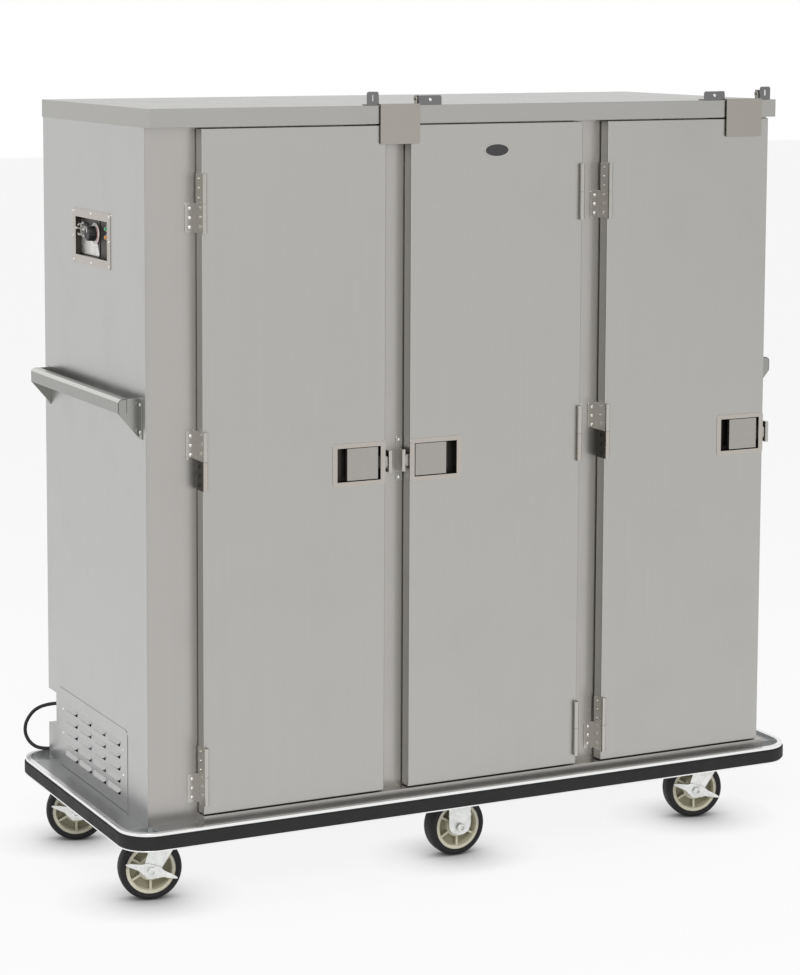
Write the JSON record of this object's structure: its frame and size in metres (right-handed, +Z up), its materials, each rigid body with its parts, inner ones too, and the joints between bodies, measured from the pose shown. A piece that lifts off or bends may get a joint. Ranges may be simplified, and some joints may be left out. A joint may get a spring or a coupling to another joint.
{
  "type": "enclosed meal tray cart",
  "caption": "Tall enclosed stainless meal tray cart with hinged doors over tray racks, a heated side column, push handles and a bumpered base on casters.",
  "frame": {"origin": "on the floor under the middle of the base's footprint", "axes": "+X to the right along the doors, +Y from the doors to the back, +Z up"},
  "size_m": [1.828, 0.8106, 1.884],
  "materials": {
    "stainless": "fine vertical brushing",
    "bright_stainless": "bright brushed",
    "galvanised": "dull zinc",
    "aluminium": "satin",
    "rubber": "matt",
    "gasket": "matt",
    "zinc": "bright zinc plate",
    "wheel_cream": "moulded",
    "tyre_black": "matt",
    "lamp": "glossy",
    "knob_black": "satin"
  },
  "bodies": {
    "cabinet": {"chassis_frame": "galvanised", "bumper_rail": "aluminium", "bumper_rubber": "rubber", "deck_channels": "bright_stainless", "left_side_panel": "stainless", "right_side_panel": "stainless", "back_panel": "stainless", "face_frame": "stainless", "top_cap": "stainless", "bay_liners": "bright_stainless", "tray_racks": "bright_stainless", "door_gaskets": "gasket", "louvre_panel": "stainless", "heater_element": "galvanised", "blower_housing": "galvanised", "control_pan": "bright_stainless", "pilot_lamps": "lamp", "side_handles": "bright_stainless", "frame_hardware": "bright_stainless", "fasteners": "bright_stainless", "swivel_plates": "zinc", "rigid_forks": "zinc", "cord_recess": "galvanised", "power_cord": "rubber", "cord_hank": "rubber", "cord_fittings": "rubber"},
    "door_left": {"door_left": "stainless", "door_left_hardware": "bright_stainless"},
    "door_middle": {"door_middle": "stainless", "door_middle_hardware": "bright_stainless"},
    "door_right": {"door_right": "stainless", "door_right_hardware": "bright_stainless"},
    "paddle_left": {"paddle_left": "stainless"},
    "paddle_middle": {"paddle_middle": "stainless"},
    "paddle_right": {"paddle_right": "stainless"},
    "transport_flap_left": {"transport_flap_left": "stainless"},
    "transport_flap_right": {"transport_flap_right": "stainless"},
    "thermostat_knob": {"thermostat_knob": "knob_black"},
    "power_switch": {"power_switch": "bright_stainless"},
    "blower_wheel": {"blower_wheel": "bright_stainless"},
    "fork_front_left": {"fork_front_left": "zinc"},
    "fork_front_right": {"fork_front_right": "zinc"},
    "fork_rear_left": {"fork_rear_left": "zinc"},
    "fork_rear_right": {"fork_rear_right": "zinc"},
    "wheel_front_left": {"hub_front_left": "wheel_cream", "tyre_front_left": "tyre_black"},
    "wheel_front_right": {"hub_front_right": "wheel_cream", "tyre_front_right": "tyre_black"},
    "wheel_rear_left": {"hub_rear_left": "wheel_cream", "tyre_rear_left": "tyre_black"},
    "wheel_rear_right": {"hub_rear_right": "wheel_cream", "tyre_rear_right": "tyre_black"},
    "brake_front_left": {"brake_front_left": "zinc"},
    "brake_front_right": {"brake_front_right": "zinc"},
    "brake_rear_left": {"brake_rear_left": "zinc"},
    "brake_rear_right": {"brake_rear_right": "zinc"},
    "wheel_middle_front": {"hub_middle_front": "wheel_cream", "tyre_middle_front": "tyre_black"},
    "wheel_middle_rear": {"hub_middle_rear": "wheel_cream", "tyre_middle_rear": "tyre_black"}
  },
  "joints": [
    {"name": "door_left_swing", "type": "hinge", "parent": "cabinet", "child": "door_left", "pos_m": [-0.71, -0.3623, 1.013], "axis": [0, 0, -1], "range_deg": [0, 180]},
    {"name": "door_middle_swing", "type": "hinge", "parent": "cabinet", "child": "door_middle", "pos_m": [0.279, -0.3623, 1.013], "axis": [0, 0, 1], "range_deg": [0, 90]},
    {"name": "door_right_swing", "type": "hinge", "parent": "cabinet", "child": "door_right", "pos_m": [0.358, -0.3623, 1.013], "axis": [0, 0, -1], "range_deg": [0, 90]},
    {"name": "paddle_left_pull", "type": "hinge", "parent": "door_left", "child": "paddle_left", "pos_m": [-0.2675, -0.3495, 1.013], "axis": [0, 0, 1], "range_deg": [0, 30], "stiffness_Nm_per_rad": 0.4, "springref_deg": -11.46},
    {"name": "paddle_middle_pull", "type": "hinge", "parent": "door_middle", "child": "paddle_middle", "pos_m": [-0.1635, -0.3495, 1.013], "axis": [0, 0, -1], "range_deg": [0, 30], "stiffness_Nm_per_rad": 0.4, "springref_deg": -11.46},
    {"name": "paddle_right_pull", "type": "hinge", "parent": "door_right", "child": "paddle_right", "pos_m": [0.8005, -0.3495, 1.013], "axis": [0, 0, 1], "range_deg": [0, 30], "stiffness_Nm_per_rad": 0.4, "springref_deg": -11.46},
    {"name": "transport_flap_left_flip", "type": "hinge", "parent": "cabinet", "child": "transport_flap_left", "pos_m": [-0.2145, -0.34, 1.866], "axis": [-1, 0, 0], "range_deg": [0, 230]},
    {"name": "transport_flap_right_flip", "type": "hinge", "parent": "cabinet", "child": "transport_flap_right", "pos_m": [0.7435, -0.34, 1.866], "axis": [-1, 0, 0], "range_deg": [0, 230]},
    {"name": "thermostat_turn", "type": "hinge", "parent": "cabinet", "child": "thermostat_knob", "pos_m": [-0.827, 0.024, 1.545], "axis": [1, 0, 0], "range_deg": [0, 270]},
    {"name": "power_switch_toggle", "type": "hinge", "parent": "cabinet", "child": "power_switch", "pos_m": [-0.831, 0.092, 1.55], "axis": [0, -1, 0], "range_deg": [0, 28]},
    {"name": "blower_spin", "type": "hinge", "parent": "cabinet", "child": "blower_wheel", "pos_m": [-0.78, 0.047, 0.297], "axis": [1, 0, 0], "continuous": true},
    {"name": "swivel_front_left", "type": "hinge", "parent": "cabinet", "child": "fork_front_left", "pos_m": [-0.754, -0.247, 0.172], "axis": [0, 0, 1], "continuous": true},
    {"name": "swivel_front_right", "type": "hinge", "parent": "cabinet", "child": "fork_front_right", "pos_m": [0.754, -0.247, 0.172], "axis": [0, 0, 1], "continuous": true},
    {"name": "swivel_rear_left", "type": "hinge", "parent": "cabinet", "child": "fork_rear_left", "pos_m": [-0.754, 0.247, 0.172], "axis": [0, 0, 1], "continuous": true},
    {"name": "swivel_rear_right", "type": "hinge", "parent": "cabinet", "child": "fork_rear_right", "pos_m": [0.754, 0.247, 0.172], "axis": [0, 0, 1], "continuous": true},
    {"name": "roll_front_left", "type": "hinge", "parent": "fork_front_left", "child": "wheel_front_left", "pos_m": [-0.80272, -0.23575, 0.075], "axis": [0.225, 0.9744, 0], "continuous": true},
    {"name": "roll_front_right", "type": "hinge", "parent": "fork_front_right", "child": "wheel_front_right", "pos_m": [0.70549, -0.2349, 0.075], "axis": [0.2419, 0.9703, 0], "continuous": true},
    {"name": "roll_rear_left", "type": "hinge", "parent": "fork_rear_left", "child": "wheel_rear_left", "pos_m": [-0.80098, 0.2641, 0.075], "axis": [0.342, 0.9397, 0], "continuous": true},
    {"name": "roll_rear_right", "type": "hinge", "parent": "fork_rear_right", "child": "wheel_rear_right", "pos_m": [0.70449, 0.25396, 0.075], "axis": [0.1392, 0.9903, 0], "continuous": true},
    {"name": "brake_front_left_press", "type": "hinge", "parent": "fork_front_left", "child": "brake_front_left", "pos_m": [-0.80272, -0.23575, 0.075], "axis": [-0.225, -0.9744, 0], "range_deg": [0, 25]},
    {"name": "brake_front_right_press", "type": "hinge", "parent": "fork_front_right", "child": "brake_front_right", "pos_m": [0.70549, -0.2349, 0.075], "axis": [-0.2419, -0.9703, 0], "range_deg": [0, 25]},
    {"name": "brake_rear_left_press", "type": "hinge", "parent": "fork_rear_left", "child": "brake_rear_left", "pos_m": [-0.80098, 0.2641, 0.075], "axis": [-0.342, -0.9397, 0], "range_deg": [0, 25]},
    {"name": "brake_rear_right_press", "type": "hinge", "parent": "fork_rear_right", "child": "brake_rear_right", "pos_m": [0.70449, 0.25396, 0.075], "axis": [-0.1392, -0.9903, 0], "range_deg": [0, 25]},
    {"name": "roll_middle_front", "type": "hinge", "parent": "cabinet", "child": "wheel_middle_front", "pos_m": [0, -0.247, 0.075], "axis": [0, 1, 0], "continuous": true},
    {"name": "roll_middle_rear", "type": "hinge", "parent": "cabinet", "child": "wheel_middle_rear", "pos_m": [0, 0.247, 0.075], "axis": [0, 1, 0], "continuous": true}
  ]
}
